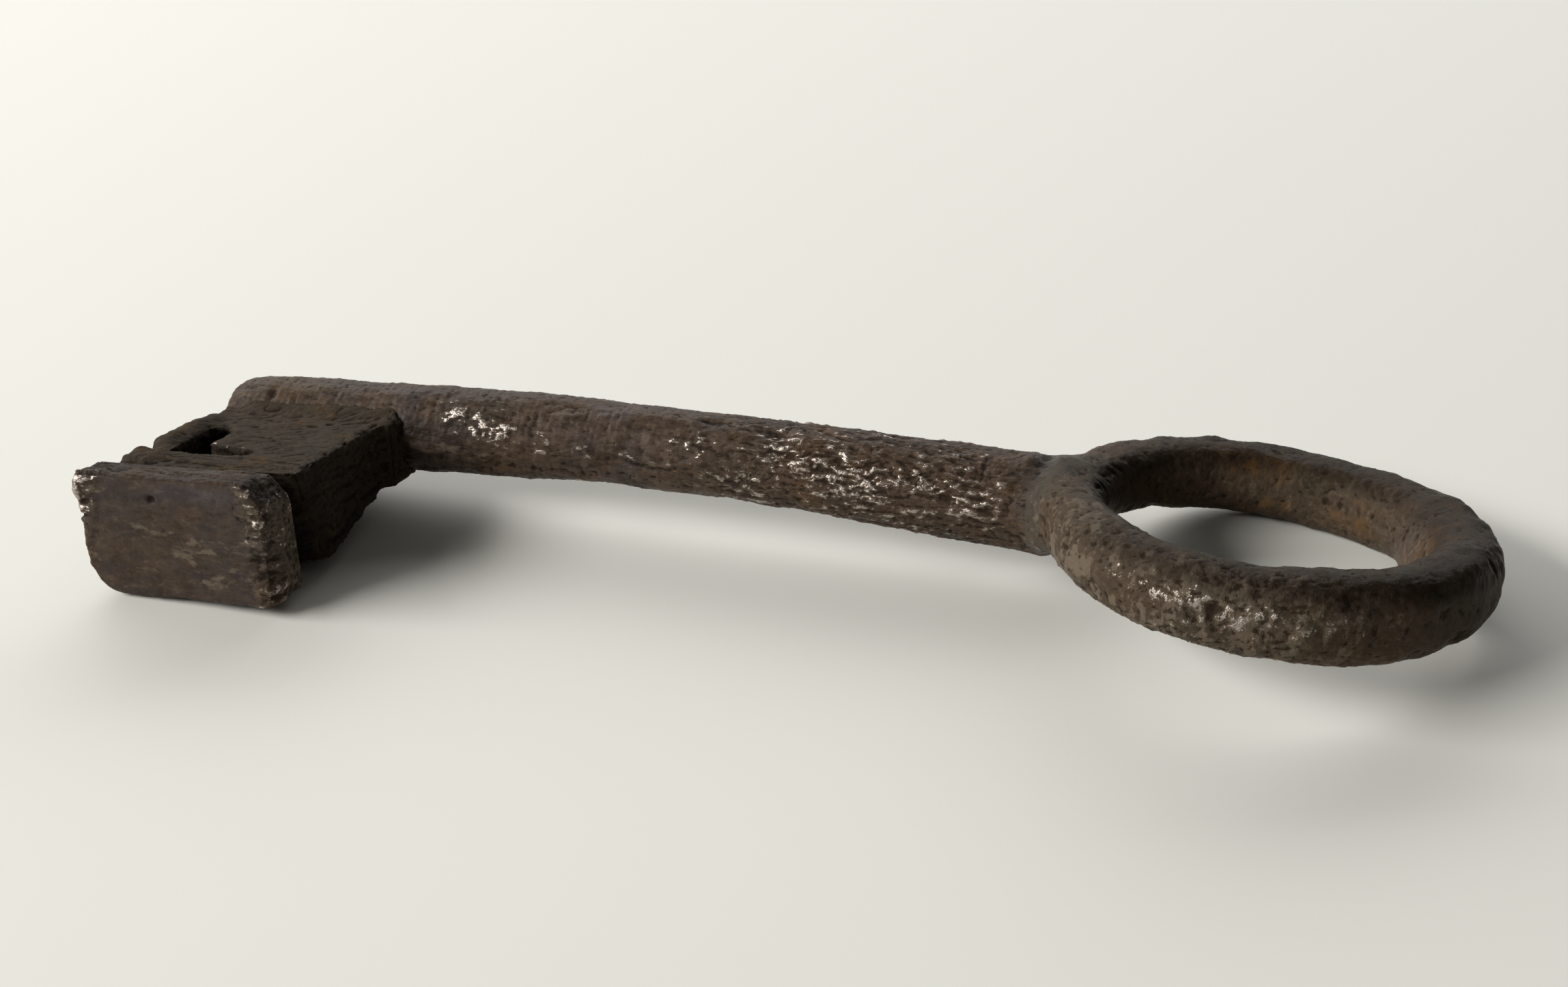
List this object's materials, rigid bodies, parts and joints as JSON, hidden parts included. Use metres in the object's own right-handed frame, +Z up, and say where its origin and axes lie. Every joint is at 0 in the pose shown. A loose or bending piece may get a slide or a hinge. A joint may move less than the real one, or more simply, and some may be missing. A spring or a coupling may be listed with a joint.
{
  "type": "iron key",
  "caption": "Forged iron door key with a round stem, a ring bow and a warded bit that ends in a thick foot.",
  "frame": {"origin": "middle of the key's bounding box, on the table that the key lies on", "axes": "+X along the stem from the bit to the ring bow, +Z up from the table, the bit stands towards -Y"},
  "size_m": [0.1304, 0.0494, 0.014],
  "materials": {
    "stem_iron": "dark brown patina, waxed, semi-gloss with bright worn specks",
    "ring_iron": "warm grey-brown patina with old rust on the inner side",
    "bit_iron": "matte olive-brown patina with fine streaks",
    "foot_iron": "smooth brown patina with a violet-grey sheen and crusty ends"
  },
  "bodies": {
    "root": {"stem": "stem_iron", "bow_ring": "ring_iron", "bit_plate": "bit_iron", "bit_foot": "foot_iron"}
  },
  "joints": []
}
